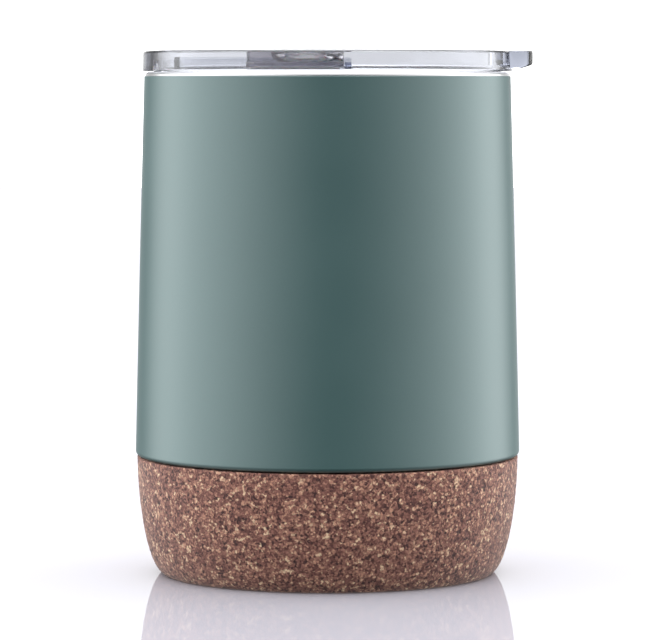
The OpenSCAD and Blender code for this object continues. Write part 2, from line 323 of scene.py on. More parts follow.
def add_ramp(tree, factor, stops):
    """A colour ramp over a factor, with (position, colour) stops."""
    ramp = add_node(tree, "ShaderNodeValToRGB", {"Fac": factor})
    elements = ramp.color_ramp.elements
    while len(elements) < len(stops):
        elements.new(0.5)
    for element, (position, colour) in zip(elements, stops):
        element.position = position
        element.color = (*colour, 1.0)
    return ramp.outputs["Color"]


def add_math(tree, operation, first, second=0.0):
    """One sum on two numbers or sockets."""
    return add_node(tree, "ShaderNodeMath", {0: first, 1: second}, operation=operation).outputs[0]


def fade(tree, value, start, end, low=0.0, high=1.0):
    """Maps a value from one range to another, and holds it there at both ends."""
    return add_node(tree, "ShaderNodeMapRange", {
        "Value": value, "From Min": start, "From Max": end, "To Min": low, "To Max": high}).outputs[0]


def object_point(tree):
    """Object coordinates."""
    return add_node(tree, "ShaderNodeTexCoord").outputs["Object"]


def stretched(tree, vector, scale):
    """A vector with its axes scaled apart."""
    return add_node(tree, "ShaderNodeMapping", {"Vector": vector, "Scale": scale}).outputs["Vector"]


def add_noise(tree, vector, scale, detail, roughness=0.5):
    """Noise from 0 to 1; scale is how many of its blots fit in a metre."""
    values = {"Vector": vector, "Scale": scale, "Detail": detail, "Roughness": roughness}
    return add_node(tree, "ShaderNodeTexNoise", values).outputs["Fac"]


def add_bump(tree, height, distance, strength):
    """A bump from a height of 0 to 1; distance, in metres, is how deep it would be at 1."""
    values = {"Height": height, "Distance": distance, "Strength": strength}
    return add_node(tree, "ShaderNodeBump", values).outputs["Normal"]


# %% [markdown]
# ## Painted steel
# The wall is sprayed with a satin paint that carries fine metal flakes. It could be a plain
# glossy plastic shader, but that reflects too little light: on the real paint the broad pale
# bands at the sides are reflections of the lights. A high IOR gives a strong satin
# reflection over the paint's own colour, a little metal gives the flakes' glow, and noises add
# what spraying leaves: flakes, soft clouds and a faint orange-peel surface.

# %% Satin metallic paint
def satin_paint():
    """Teal-green metallic paint with a satin surface."""
    material, tree, shader = new_material(
        "satin_teal_paint", Metallic=0.1, Roughness=0.36, IOR=2.4,
        Specular_Tint=(0.94, 1.0, 1.0, 1.0))
    point = object_point(tree)
    flakes = add_noise(tree, point, 9000.0, 1.0)
    clouds = add_noise(tree, point, 60.0, 2.0)
    mixed = add_math(tree, "ADD", add_math(tree, "MULTIPLY", flakes, 0.35),
                     add_math(tree, "MULTIPLY", clouds, 0.15))
    colour = add_ramp(tree, mixed, [(0.12, (0.053, 0.134, 0.136)), (0.42, (0.077, 0.172, 0.174))])
    tree.links.new(colour, shader.inputs["Base Color"])
    tree.links.new(fade(tree, clouds, 0.0, 1.0, 0.34, 0.38), shader.inputs["Roughness"])
    peel = add_noise(tree, point, 700.0, 2.0)
    tree.links.new(add_bump(tree, peel, 15 * MICRON, 0.35), shader.inputs["Normal"])
    return material


paint = satin_paint()
print("made", paint.name)

# %% [markdown]
# ## Agglomerated cork
# The base is ground cork, pressed and glued in a mould, then sanded. Each granule has its
# own brown, its edges are darker with glue, and some flakes are pale. A Voronoi texture
# divides space into just such cells, and since it is solid it runs round the cup with no
# seam. Cells of two sizes are mixed, because the grinder leaves both. The large cells are
# used again below to shape the real surface.

# %% Cork
GRAIN = 0.9 * MM            # size of a large cork granule
CRUMB = 0.45 * MM           # size of the small ones between them


def granule_cells(tree, point, size, feature="F1"):
    """Voronoi cells of one size, filling space."""
    return add_node(tree, "ShaderNodeTexVoronoi", {"Vector": point, "Scale": 1 / size, "Randomness": 1.0},
                    feature=feature)


def cork():
    """Pressed cork granules, sanded and lightly sealed."""
    material, tree, shader = new_material("pressed_cork", Roughness=0.8, Sheen_Weight=0.25,
                                          Sheen_Roughness=0.5, Specular_IOR_Level=0.35)
    point = object_point(tree)
    big = granule_cells(tree, point, GRAIN)
    small = granule_cells(tree, point, CRUMB)
    big_tone = add_node(tree, "ShaderNodeSeparateColor", {"Color": big.outputs["Color"]}).outputs[0]
    small_tone = add_node(tree, "ShaderNodeSeparateColor", {"Color": small.outputs["Color"]}).outputs[1]
    tone = add_math(tree, "ADD", add_math(tree, "MULTIPLY", big_tone, 0.4),
                    add_math(tree, "MULTIPLY", small_tone, 0.6))
    browns = add_ramp(tree, tone, [
        (0.1, (0.07, 0.032, 0.032)), (0.32, (0.22, 0.088, 0.074)), (0.58, (0.4, 0.185, 0.142)),
        (0.78, (0.68, 0.36, 0.25)), (0.92, (1.0, 0.74, 0.5))])
    edges = granule_cells(tree, point, GRAIN, "DISTANCE_TO_EDGE").outputs["Distance"]
    seams = fade(tree, edges, 0.0, 0.12, 0.55, 1.0)
    shaded = add_node(tree, "ShaderNodeMix", {0: 1.0, 6: browns, 7: seams},
                      data_type="RGBA", blend_type="MULTIPLY").outputs[2]
    tree.links.new(shaded, shader.inputs["Base Color"])
    grit = add_noise(tree, point, 2600.0, 3.0, 0.6)
    height = add_math(tree, "ADD", add_math(tree, "MULTIPLY", grit, 0.4),
                      add_math(tree, "MULTIPLY", small_tone, 0.6))
    tree.links.new(add_bump(tree, height, 120 * MICRON, 0.5), shader.inputs["Normal"])
    return material


pressed_cork = cork()
print("made", pressed_cork.name)

# %% [markdown]
# ## Bare steel
# The lip is polished and the liner inside is brushed by a turning wheel, so its fine lines
# run round the cup. Noise squeezed along Z and spread in X and Y gives such rings without
# any UV map.

# %% Steels
def brushed_steel(name, tone, roughness, line_depth):
    """Steel with fine lines that run round the axis."""
    material, tree, shader = new_material(name, Metallic=1.0, Roughness=roughness)
    point = object_point(tree)
    rings = add_noise(tree, stretched(tree, point, (40.0, 40.0, 9000.0)), 1.0, 4.0, 0.7)
    low = [channel * 0.93 for channel in tone]
    tree.links.new(add_ramp(tree, rings, [(0.3, low), (0.7, list(tone))]), shader.inputs["Base Color"])
    gloss = fade(tree, rings, 0.0, 1.0, roughness * 0.8, roughness * 1.25)
    tree.links.new(gloss, shader.inputs["Roughness"])
    tree.links.new(add_bump(tree, rings, line_depth, 0.3), shader.inputs["Normal"])
    return material


liner_steel = brushed_steel("brushed_liner_steel", (0.78, 0.78, 0.79), 0.28, 10 * MICRON)
lip_steel = brushed_steel("polished_lip_steel", (0.95, 0.95, 0.955), 0.3, 3 * MICRON)
sheet_steel = brushed_steel("drawn_sheet_steel", (0.62, 0.62, 0.63), 0.38, 10 * MICRON)
print("made", liner_steel.name, lip_steel.name, sheet_steel.name)

# %% [markdown]
# ## Clear and smoke plastics
# The lid is clear moulded plastic. It bends the light behind it, so it needs a real
# refracting shader and a closed mesh with a true thickness. A flat alpha would show none of
# the bright and dark facets that make it read as thick plastic. Its tint grows with the
# length of the light's path inside, which Volume Absorption does: the density says how fast,
# and the colour says what is left. A faint flow bump stands for what moulding leaves. The
# closure is the same plastic with smoke-grey dye.

# %% Plastics and silicone
def moulded_clear(name, tint, roughness, dye, dye_density, flow):
    """Clear or dyed plastic that refracts, darker where it is thicker, with faint moulding flow."""
    material, tree, shader = new_material(name, Roughness=roughness, IOR=1.5, Transmission_Weight=1.0)
    point = object_point(tree)
    swirl = add_noise(tree, point, 90.0, 2.0)
    low = [channel * 0.97 for channel in tint]
    tree.links.new(add_ramp(tree, swirl, [(0.3, low), (0.7, list(tint))]), shader.inputs["Base Color"])
    tree.links.new(add_bump(tree, swirl, flow, 0.3), shader.inputs["Normal"])
    depth = add_node(tree, "ShaderNodeVolumeAbsorption", {"Color": dye, "Density": dye_density})
    tree.links.new(depth.outputs[0], tree.nodes["Material Output"].inputs["Volume"])
    return material


def silicone(name, tone, transmission):
    """Soft matt silicone that lets some light through."""
    material, tree, shader = new_material(
        name, Roughness=0.5, IOR=1.41, Transmission_Weight=transmission, Subsurface_Weight=0.2,
        Subsurface_Scale=0.002)
    point = object_point(tree)
    skin = add_noise(tree, point, 1500.0, 3.0)
    low = [channel * 0.94 for channel in tone]
    tree.links.new(add_ramp(tree, skin, [(0.3, low), (0.7, list(tone))]), shader.inputs["Base Color"])
    tree.links.new(add_bump(tree, skin, 10 * MICRON, 0.4), shader.inputs["Normal"])
    return material


clear_plastic = moulded_clear("clear_lid_plastic", (0.985, 0.987, 0.995), 0.02,
                              (0.3, 0.35, 0.5, 1.0), 65.0, 20 * MICRON)
smoke_plastic = moulded_clear("smoke_closure_plastic", (0.94, 0.935, 0.95), 0.06,
                              (0.33, 0.3, 0.37, 1.0), 62.0, 5 * MICRON)
ring_silicone = silicone("seal_silicone", (0.9, 0.9, 0.92), 0.6)
pad_silicone = silicone("pad_silicone", (0.75, 0.75, 0.77), 0.1)
print("made", clear_plastic.name, smoke_plastic.name, ring_silicone.name, pad_silicone.name)

# %% [markdown]
# ## The painted wall
# On the real cup this is a tube that is spun to a slight taper, with a rolled foot that ends
# just above the cork. Its shape follows a rule: the radius shrinks evenly with height and
# bows out a little halfway. So the tube is turned straight, and a small Geometry Nodes tree
# with named inputs leans and bows it. Changing the lean is then one number.

# %% Geometry Nodes helpers
def new_tree(name, sizes):
    """A node tree with a Geometry input, named size inputs, a Material input, and an output."""
    tree = bpy.data.node_groups.new(name, "GeometryNodeTree")
    tree.interface.new_socket("Geometry", in_out="INPUT", socket_type="NodeSocketGeometry")
    for label in sizes:
        tree.interface.new_socket(label, in_out="INPUT", socket_type="NodeSocketFloat")
    tree.interface.new_socket("Material", in_out="INPUT", socket_type="NodeSocketMaterial")
    tree.interface.new_socket("Geometry", in_out="OUTPUT", socket_type="NodeSocketGeometry")
    return tree, tree.nodes.new("NodeGroupInput").outputs


def end_tree(tree, geometry, material):
    """Realizes the geometry, gives it the material, and joins it to the output."""
    real = add_node(tree, "GeometryNodeRealizeInstances", {"Geometry": geometry}).outputs[0]
    clad = add_node(tree, "GeometryNodeSetMaterial", {"Geometry": real, "Material": material}).outputs[0]
    add_node(tree, "NodeGroupOutput", {"Geometry": clad})


def apply_tree(piece, tree, **values):
    """Runs a tree on a piece with its inputs set, and keeps the result as plain mesh."""
    modifier = piece.modifiers.new(tree.name, "NODES")
    modifier.node_group = tree
    for item in tree.interface.items_tree:
        if item.in_out == "INPUT" and item.name.replace(" ", "_") in values:
            modifier[item.identifier] = values[item.name.replace(" ", "_")]
    settle(piece)


def lean_and_bow_tree():
    """Moves each point in by a lean that grows with height, and out by a bow."""
    tree, given = new_tree("lean and bow", ["Foot Height", "Top Height", "Lean", "Bow"])
    place = add_node(tree, "GeometryNodeInputPosition").outputs[0]
    height = add_node(tree, "ShaderNodeSeparateXYZ", {0: place}).outputs["Z"]
    share = fade(tree, height, given["Foot Height"], given["Top Height"])
    hump = add_math(tree, "MULTIPLY", add_math(tree, "MULTIPLY", share, 4.0),
                    add_math(tree, "SUBTRACT", 1.0, share))
    inwards = add_math(tree, "SUBTRACT", add_math(tree, "MULTIPLY", share, given["Lean"]),
                       add_math(tree, "MULTIPLY", hump, given["Bow"]))
    flat = add_node(tree, "ShaderNodeVectorMath", {0: place, 1: (1.0, 1.0, 0.0)}, operation="MULTIPLY")
    spoke = add_node(tree, "ShaderNodeVectorMath", {0: flat.outputs[0]}, operation="NORMALIZE")
    outwards = add_math(tree, "MULTIPLY", inwards, -1.0)
    offset = add_node(tree, "ShaderNodeVectorMath", {0: spoke.outputs[0], "Scale": outwards},
                      operation="SCALE")
    moved = add_node(tree, "GeometryNodeSetPosition",
                     {"Geometry": given["Geometry"], "Offset": offset.outputs[0]}).outputs[0]
    end_tree(tree, moved, given["Material"])
    return tree


lean_and_bow = lean_and_bow_tree()
print("tree:", lean_and_bow.name, "with", len(lean_and_bow.nodes), "nodes")

# %% Painted wall
shell_foot = cork_h + cork_gap
step_r = seat_r - glue
corner_z = shell_base + corner_round
flange_r = step_r - corner_round - flange_w
wall_outline = rounded([
    (foot_r, shell_top, edge_round), (foot_r, shell_foot, foot_round),
    (step_r, shell_foot, 0), (step_r, shell_base, corner_round),
    (flange_r, shell_base, 0), (flange_r, shell_base + shell_t, 0),
    (step_r - shell_t, shell_base + shell_t, corner_round - shell_t),
    (step_r - shell_t, shell_foot + shell_t, 0),
    (foot_r - shell_t, shell_foot + shell_t, foot_round - shell_t),
    (foot_r - shell_t, shell_top, edge_round)])
painted_wall = turn("painted_wall", split_long(wall_outline, 3.0), FINE_SEGMENTS)
apply_tree(painted_wall, lean_and_bow, Foot_Height=shell_foot + foot_round, Top_Height=shell_top,
           Lean=wall_lean, Bow=wall_bow, Material=paint)
finish_mesh(painted_wall)
mount(painted_wall, "cup", "painted_steel", "outer_shell")

# %% [markdown]
# ## The cork base
# A cup-shaped block of pressed cork holds the steel. Its side curves in towards the table as
# a quarter of an ellipse does. The granules leave a real relief: grooves between them, and
# some stand lower than others. A bump map would vanish at the silhouette and leave the mesh
# itself smooth, so a Geometry Nodes tree sinks the fine outer mesh by the same Voronoi cells
# that colour it. It only ever sinks, so the cork stays inside its CAD node.

# %% Cork relief
def cork_relief_tree():
    """Sinks the surface between granules, and each granule by its own amount."""
    tree, given = new_tree("cork relief", ["Granule Size", "Groove Depth", "Step Depth"])
    place = add_node(tree, "GeometryNodeInputPosition").outputs[0]
    scale = add_math(tree, "DIVIDE", 1.0, given["Granule Size"])
    values = {"Vector": place, "Scale": scale, "Randomness": 1.0}
    edge = add_node(tree, "ShaderNodeTexVoronoi", values, feature="DISTANCE_TO_EDGE").outputs["Distance"]
    cell = add_node(tree, "ShaderNodeTexVoronoi", values, feature="F1").outputs["Color"]
    level = add_node(tree, "ShaderNodeSeparateXYZ", {0: cell}).outputs["Y"]
    groove = fade(tree, edge, 0.0, 0.2, given["Groove Depth"], 0.0)
    sunk = add_math(tree, "ADD", groove, add_math(tree, "MULTIPLY", level, given["Step Depth"]))
    outside = add_node(tree, "GeometryNodeInputNamedAttribute", {"Name": "outside"}, data_type="FLOAT")
    depth = add_math(tree, "MULTIPLY", add_math(tree, "MULTIPLY", sunk, outside.outputs[0]), -1.0)
    normal = add_node(tree, "GeometryNodeInputNormal").outputs[0]
    offset = add_node(tree, "ShaderNodeVectorMath", {0: normal, "Scale": depth}, operation="SCALE")
    moved = add_node(tree, "GeometryNodeSetPosition",
                     {"Geometry": given["Geometry"], "Offset": offset.outputs[0]}).outputs[0]
    end_tree(tree, moved, given["Material"])
    return tree


def mark_outside(piece, is_outside):
    """Stores 1 on the points that a test names as the outside, and 0 on the rest."""
    marks = piece.data.attributes.new("outside", "FLOAT", "POINT")
    for point, mark in zip(piece.data.vertices, marks.data):
        mark.value = 1.0 if is_outside(point.co) else 0.0


cork_relief = cork_relief_tree()
print("tree:", cork_relief.name, "with", len(cork_relief.nodes), "nodes")

# %% Cork base
SIDE_STEPS = 72             # bands down the curved side, about a third of a granule each
CORK_SEGMENTS = 720         # bands round it
cork_side = []
for step in range(SIDE_STEPS + 1):
    turn_angle = pi / 2 * step / SIDE_STEPS
    cork_side.append((cork_r - cork_lean * sin(turn_angle) - cork_round * (1 - cos(turn_angle)),
                      cork_h * (1 - sin(turn_angle))))
foot_flat_r = cork_side[-1][0]
foot_rings = (0.985, 0.96, 0.92, 0.85, 0.75, 0.6, 0.4, 0.2, 0.0)
underside = [(foot_flat_r * share, 0.0) for share in foot_rings]
seat = rounded([(0.0, seat_floor, 0), (seat_r, seat_floor, corner_round + glue), (seat_r, cork_h, 0)])
cork_base = turn("cork_cup", cork_side + underside + seat, CORK_SEGMENTS)
cork_base.data.transform(Matrix.Scale(MM, 4))
seat_edge = (seat_r + 0.5) * MM     # inside it is the seat for the steel, which stays smooth
foot_plane = 0.1 * MM
mark_outside(cork_base, lambda p: Vector((p.x, p.y)).length > seat_edge or p.z < foot_plane)
apply_tree(cork_base, cork_relief, Granule_Size=GRAIN, Groove_Depth=0.09 * MM, Step_Depth=0.06 * MM,
           Material=pressed_cork)
cork_base.data.shade_smooth()
print("cork faces:", len(cork_base.data.polygons))
mount(cork_base, "cup", "cork", "cork_base")

# %% [markdown]
# ## The liner and the lip
# The drink is held by a second, thinner steel cup. Its top is rolled over and welded to the
# outer wall, and that bare roll is the bright line under the lid. The wall and its welded
# bottom show as one surface inside, so one turned piece stands for both CAD nodes. A piece
# may carry two materials: here each face above the paint takes the polished one, and the
# rest the brushed one.

# %% Liner
liner_floor = base("liner_bottom") + liner_t
liner_base_r = reach("liner_bottom") - liner_t
liner_weld = top("liner_bottom")
mouth_base = lip_top - mouth_depth
neck_base = mouth_base - neck_h
neck_r = mouth_r - neck_step
lip_round = lip_h * 0.9
bend_inside = 0.6
bend_outside = 0.4
liner_outline = rounded([
    (0.0, liner_floor - liner_t, 0), (liner_base_r + liner_t, liner_floor - liner_t, liner_round + liner_t),
    (liner_base_r + liner_t, liner_weld, 0), (neck_r + liner_t, neck_base, bend_outside),
    (mouth_r + liner_t, mouth_base, bend_outside), (mouth_r + liner_t, shell_top, 0),
    (lip_r, shell_top, 0), (lip_r, lip_top, lip_round), (mouth_r, lip_top, lip_round / 2),
    (mouth_r, mouth_base, bend_inside), (neck_r, neck_base, bend_inside),
    (liner_base_r, liner_weld, 0), (liner_base_r, liner_floor, liner_round), (0.0, liner_floor, 0)], 8)
steel_liner = turn("steel_liner", split_long(liner_outline, 8.0), FINE_SEGMENTS)
finish_mesh(steel_liner)
steel_liner.data.materials.append(liner_steel)
steel_liner.data.materials.append(lip_steel)
polished_from = (shell_top - 0.05) * MM
for face in steel_liner.data.polygons:
    face.material_index = 1 if face.center.z > polished_from else 0
mount(steel_liner, "cup", "liner_steel", "liner_wall", "liner_bottom")

# %% [markdown]
# ## The clear lid
# The lid is one moulding: a thick rim with a thumb tab, a dished floor with a drink opening
# and a vent, a plug that goes into the mouth, and two rails that guide the closure. Light
# bends at every surface of it, so no inner wall may be left where two shapes overlap. That
# is why the shapes are joined with exact booleans, the turned body and the tab rounded first.

# %% Where the closure sits
slider_low, slider_high = [[value / MM for value in corner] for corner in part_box("closure_slider")]
pad_low, pad_high = [[value / MM for value in corner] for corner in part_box("slider_pad")]
tab_tip = reach("lid_body")
slider_w = slider_high[1] - slider_low[1]
slider_l = slider_high[0] - slider_low[0]
slide_travel = next(joint for joint in frame["record"]["behaviour"]["joints"]
                    if joint["name"] == "closure_slide")["range_m"][1] / MM
closed_front = slider_low[0] - slide_travel
slide_gap = 0.12            # between the closure and the lid
rail_t = 1.6                # web of a rail
rail_lip = 1.7              # how far its lip reaches over the foot plate
rail_lip_t = 0.7            # thickness of that lip
stop_t = 1.4                # thickness of the stop behind the closure
plate_t = 0.9               # foot plate of the closure
opening_l = 8.0             # drink opening, along the closure's travel
opening_w = 16.0            # and across it
opening_lap = 2.25          # how far the closed plate reaches past the opening
vent_d = 2.4                # air hole on the other side
plate_top = slider_low[2] + plate_t
rail_in = slider_w / 2 + slide_gap
rail_front = closed_front - slide_gap - rail_t
rail_back = slider_high[0] + slide_gap
rail_end = rail_back + stop_t
rail_lip_z = plate_top + slide_gap
opening_x = closed_front + opening_lap + opening_l / 2
vent_x = (rail_end + dish_r) / 2
print(f"closure {slider_l:.1f} x {slider_w:.1f}, travels {slide_travel:.1f}, opening at x {opening_x:.2f}")

# %% Lid shapes
def rounded_rectangle(x0, x1, y0, y1, radius, steps=8):
    """A rectangle's outline with round corners."""
    return rounded([(x0, y0, radius), (x1, y0, radius), (x1, y1, radius), (x0, y1, radius)], steps)


def block(name, x0, x1, y0, y1, z0, z1):
    """A plain box, as a tool."""
    return extrude(name, [(x0, y0), (x1, y0), (x1, y1), (x0, y1)], z0, z1)


# %% Turned body of the lid
groove_base = base("lid_seal") - seal_gap
groove_top = top("lid_seal") + seal_gap
groove_in = plug_r - groove_depth
groove_edge = 0.1
groove_corner = 0.15
plug_in = plug_r - plug_wall
plug_edge = 0.6             # lead-in at the plug's foot
rim_foot_edge = 0.35
dish_edge = 0.4
floor_corner = 0.5          # where a wall meets the floor
lid_outline = rounded([
    (0.0, dish_z - lid_floor_t, 0), (plug_in, dish_z - lid_floor_t, floor_corner),
    (plug_in, plug_base, plug_edge / 2), (plug_r, plug_base, plug_edge),
    (plug_r, groove_base, groove_edge), (groove_in, groove_base, groove_corner),
    (groove_in, groove_top, groove_corner), (plug_r, groove_top, groove_edge),
    (plug_r, rim_foot, groove_corner), (rim_r, rim_foot, rim_foot_edge),
    (rim_r - rim_taper, rim_top, rim_round), (dish_r, rim_top, dish_edge),
    (dish_r, dish_z, floor_corner), (0.0, dish_z, 0)], 8)
lid = turn("clear_lid", lid_outline, FINE_SEGMENTS)
print("turned lid:", len(lid.data.polygons), "faces")

# %% Thumb tab
tab_w = 17.0
tab_round = 3.0             # corners of the tab, seen from above
tab_edge = 0.45             # rounding of its edges
tab_skirt = 0.2             # tab's underside above the rim's
tab_rise = 1.2              # how much thinner the tab is at its tip
tab_root = rim_r - 1.2      # where it ends, inside the rim
tab_low = rim_foot + tab_skirt
tab_outline = rounded_rectangle(tab_root - 2 * tab_round, tab_tip, -tab_w / 2, tab_w / 2, tab_round)
tab_slope = tab_rise / (tab_tip - rim_r)
tab = extrude("tab", tab_outline, lambda x: tab_low + tab_slope * max(0.0, x - rim_r), rim_top)
soften(tab, tab_edge, 4)
keep = block("keep", tab_root, tab_tip + 1, -tab_w, tab_w, rim_foot - 1, rim_top + 1)
combine(tab, keep, "INTERSECT")
combine(lid, tab, "UNION")
print("lid with tab:", len(lid.data.polygons), "faces")

# %% Rails and stops
rail_root = dish_z - lid_floor_t / 2
rail_top = rail_lip_z + rail_lip_t
lip_in = rail_in - rail_lip
lip_out = rail_in + rail_t / 2
rail_reach = (dish_r + plug_r) / 2
rail_blocks = {
    "web": (rail_front, rail_end, rail_in, rail_in + rail_t, rail_root, rail_top),
    "lip": (rail_front, rail_end, lip_in, lip_out, rail_lip_z, rail_top),
    "front_stop": (rail_front, closed_front - slide_gap, lip_in, lip_out,
                   rail_root, rail_lip_z + rail_lip_t / 2)}
for side in (-1, 1):
    for part, (x0, x1, near, far, z0, z1) in rail_blocks.items():
        piece = block(part, x0, x1, min(side * near, side * far), max(side * near, side * far), z0, z1)
        inside = turn("inside", [(0.0, plug_base), (rail_reach, plug_base),
                                 (rail_reach, rim_top), (0.0, rim_top)], 64)
        combine(piece, inside, "INTERSECT")
        combine(lid, piece, "UNION")
stop_bar = block("stop_bar", rail_back, rail_end, -lip_out, lip_out, rail_root, plate_top)
combine(lid, stop_bar, "UNION")
print("lid with rails:", len(lid.data.polygons), "faces")

# %% Drink opening and vent
through = 5.0               # how far a cutter reaches past the dished floor
slot_round = opening_l / 2 - 0.01
slot_outline = rounded_rectangle(opening_x - opening_l / 2, opening_x + opening_l / 2,
                                 -opening_w / 2, opening_w / 2, slot_round, 16)
combine(lid, extrude("slot", slot_outline, dish_z - through, dish_z + through), "DIFFERENCE")
vent_outline = [(vent_x + vent_d / 2 * cos(2 * pi * i / 32), vent_d / 2 * sin(2 * pi * i / 32))
                for i in range(32)]
combine(lid, extrude("vent", vent_outline, dish_z - through, dish_z + through), "DIFFERENCE")
finish_mesh(lid, MOULDED_SHARP)
lid.data.materials.clear()
lid.data.materials.append(clear_plastic)
mount(lid, "lid", "clear_plastic", "lid_body")

# %% [markdown]
# ## The seal ring
# A soft silicone ring sits in the plug's groove, and its two fins press on the mouth. It is
# turned like the rest, with fins that taper to a round edge.

# %% Seal ring
seal_low = base("lid_seal")
seal_high = top("lid_seal")
seal_in = groove_in + seal_gap
seal_out = plug_r - seal_gap
seal_round = 0.15
fin_r = reach("lid_seal")
fin_root = 0.48             # half the height of a fin where it leaves the ring
fin_tip = 0.15              # and at its edge
root_round = 0.1
tip_round = 0.12
fin_pitch = (seal_high - seal_low) / 3
seal_corners = [(seal_in, seal_low, seal_round), (seal_out, seal_low, seal_round)]
for fin in (1, 2):
    fin_z = seal_low + fin_pitch * fin
    seal_corners += [(seal_out, fin_z - fin_root, root_round), (fin_r, fin_z - fin_tip, tip_round),
                     (fin_r, fin_z + fin_tip, tip_round), (seal_out, fin_z + fin_root, root_round)]
seal_corners += [(seal_out, seal_high, seal_round), (seal_in, seal_high, seal_round)]
seal_ring = turn("seal_ring", rounded(seal_corners, 4))
finish_mesh(seal_ring)
seal_ring.data.materials.append(ring_silicone)
mount(seal_ring, "seal", "silicone", "lid_seal")

# %% [markdown]
# ## The closure
# A fingertip in the well pushes the closure along its rails. It is a flat foot plate that
# runs under the rails' lips, and a raised block with the well hollowed out of it. The well is
# steep at its edge and rounds into a flat floor, so it shows as a paler patch in the block.

# %% Closure
block_w = 17.0              # raised block, narrower than the foot plate
plate_round = 2.0           # corners of both, seen from above
well_r = 7.5
well_floor = 0.8            # thickness left under the well
well_round = 2.2            # curve between its side and its floor
well_shift = 2.2            # from the block's middle towards the tab
well_x = slider_low[0] + slider_l / 2 + well_shift
well_z = slider_low[2] + well_floor
closure_edge = 0.25
above = slider_high[2] + 1.0
plate_outline = rounded_rectangle(slider_low[0], slider_high[0], slider_low[1], slider_high[1], plate_round)
closure = extrude("closure", plate_outline, slider_low[2], plate_top)
raised_outline = rounded_rectangle(slider_low[0], slider_high[0], -block_w / 2, block_w / 2, plate_round)
raised = extrude("raised", raised_outline, slider_low[2] + 0.2, slider_high[2])
combine(closure, raised, "UNION")
well_outline = rounded([(0.0, above, 0), (0.0, well_z, 0), (well_r, well_z, well_round),
                        (well_r, above, 0)], 12)
well = turn("well", well_outline, 128)
well.data.transform(Matrix.Translation((well_x, 0, 0)))
combine(closure, well, "DIFFERENCE")
soften(closure, closure_edge, 3, 40)
finish_mesh(closure, MOULDED_SHARP)
closure.data.materials.clear()
closure.data.materials.append(smoke_plastic)
mount(closure, "closure", "smoke_plastic", "closure_slider")

# %% [markdown]
# ## The pad
# A thin silicone pad is glued under the closure and wipes over the drink opening. A raised
# outline is enough, once its edges are rounded as a moulded pad's are.

# %% Pad under the closure
pad_edge = 0.12
pad_outline = rounded_rectangle(pad_low[0], pad_high[0], pad_low[1], pad_high[1], plate_round)
pad = extrude("closure_pad", pad_outline, pad_low[2], pad_high[2])
soften(pad, pad_edge, 2)
finish_mesh(pad, MOULDED_SHARP)
pad.data.materials.append(pad_silicone)
mount(pad, "closure", "pad_silicone", "slider_pad")

# %% [markdown]
# ## The hidden parts
# The vacuum parts and the adhesive never show on a whole cup, but a buyer may take it apart,
# so each CAD node keeps its shape and gets its own finish.

# %% Finishes for the hidden nodes
def powder(name, dark, light, size, roughness, metallic=0.0):
    """A grainy or cloudy finish between two tones."""
    material, tree, shader = new_material(name, Roughness=roughness, Metallic=metallic)
    grain = add_noise(tree, object_point(tree), 1 / (size * MM), 4.0, 0.6)
    tree.links.new(add_ramp(tree, grain, [(0.3, dark), (0.7, light)]), shader.inputs["Base Color"])
    tree.links.new(add_bump(tree, grain, 30 * MICRON, 0.5), shader.inputs["Normal"])
    return material


hidden_finishes = {
    "outer_bottom": sheet_steel,
    "getter_strap": sheet_steel,
    "radiation_foil": powder("wrapped_foil", (0.62, 0.63, 0.65), (0.86, 0.87, 0.88), 4.0, 0.3, 1.0),
    "getter_pellet": powder("getter_powder", (0.05, 0.05, 0.055), (0.14, 0.14, 0.15), 0.2, 0.9),
    "vacuum_seal": powder("sealing_glass", (0.03, 0.045, 0.06), (0.06, 0.08, 0.1), 1.5, 0.15),
    "adhesive_pad": powder("cured_adhesive", (0.42, 0.33, 0.19), (0.58, 0.48, 0.3), 1.0, 0.6),
}
hidden_finishes["adhesive_band"] = hidden_finishes["adhesive_pad"]
for node, finish in hidden_finishes.items():
    mesh = frame["nodes"][node].data
    mesh.materials.clear()
    mesh.materials.append(finish)
print("finished", ", ".join(hidden_finishes))

# %% [markdown]
# ## Light
# The cup stands in a white tent, as small products often do in a studio. Lamps could light it,
# but a satin wall mirrors its whole surroundings, so the tent itself is made: a world whose
# brightness depends on the direction round the cup. It is dark in front, where the camera
# looks in, and grows brighter towards the sides. Two narrow dark flags stand behind the
# cup's edges, and the middle of the back is mid grey. The ceiling is white, and below the
# horizon the light falls off, as it would over a table. The camera itself sees plain white.

# %% Tent light
WHITE = (1.0, 1.0, 1.0, 1.0)


def blend_colours(tree, share, first, second):
    """A mix of two colours or sockets."""
    return add_node(tree, "ShaderNodeMix", {0: share, 6: first, 7: second}, data_type="RGBA").outputs[2]


def dimmed(tree, colour, level):
    """A colour times a level."""
    return add_node(tree, "ShaderNodeVectorMath", {0: colour, "Scale": level}, operation="SCALE").outputs[0]


